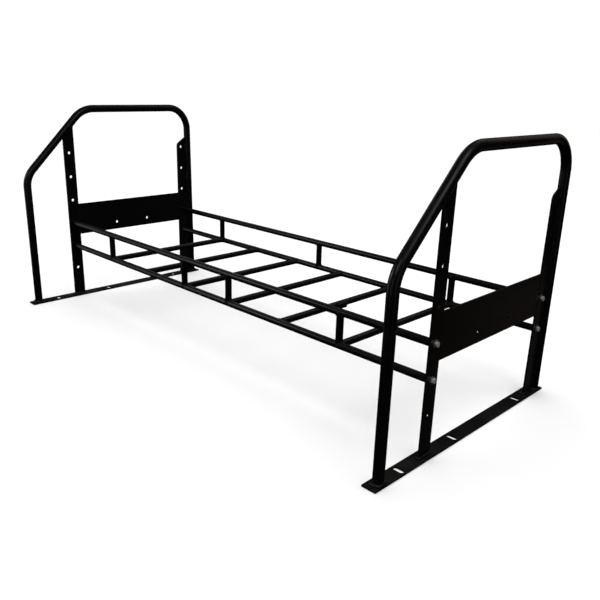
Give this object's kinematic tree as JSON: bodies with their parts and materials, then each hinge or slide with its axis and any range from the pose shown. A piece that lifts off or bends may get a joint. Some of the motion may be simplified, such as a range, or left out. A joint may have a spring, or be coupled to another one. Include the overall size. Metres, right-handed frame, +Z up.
{
  "type": "tubular rack frame with bolted deck",
  "caption": "Tubular steel rack or bunk base: bent-tube end frames with hole-row uprights on slotted base bars and a narrow welded tube deck bolted between them.",
  "frame": {"origin": "middle of the footprint, on the ground under the base bars", "axes": "+X along the deck from the left end frame to the right one, +Y from the sloped front to the straight back, +Z up"},
  "size_m": [2.1764, 0.997, 0.9365],
  "materials": {
    "black_frame": "black powder coat, satin to semi-gloss",
    "zinc_hardware": "bright zinc plate",
    "plain_steel": "machined steel, oiled"
  },
  "bodies": {
    "root": {"left_hoop": "black_frame", "left_front_upright": "black_frame", "left_rear_upright": "black_frame", "left_cross_plate": "black_frame", "left_base_bar": "black_frame", "right_hoop": "black_frame", "right_front_upright": "black_frame", "right_rear_upright": "black_frame", "right_cross_plate": "black_frame", "right_base_bar": "black_frame", "front_top_rail": "black_frame", "front_bottom_rail": "black_frame", "rear_top_rail": "black_frame", "rear_bottom_rail": "black_frame", "cross_tube_1": "black_frame", "cross_tube_2": "black_frame", "cross_tube_3": "black_frame", "cross_tube_4": "black_frame", "cross_tube_5": "black_frame", "cross_tube_6": "black_frame", "front_post_1": "black_frame", "front_post_2": "black_frame", "front_post_3": "black_frame", "front_post_4": "black_frame", "rear_post_1": "black_frame", "rear_post_2": "black_frame", "rear_post_3": "black_frame", "saddle": "black_frame", "left_rail_plugs": "plain_steel", "right_rail_plugs": "plain_steel", "left_bolts": "zinc_hardware", "right_bolts": "zinc_hardware", "left_washers": "zinc_hardware", "right_washers": "zinc_hardware"}
  },
  "joints": []
}
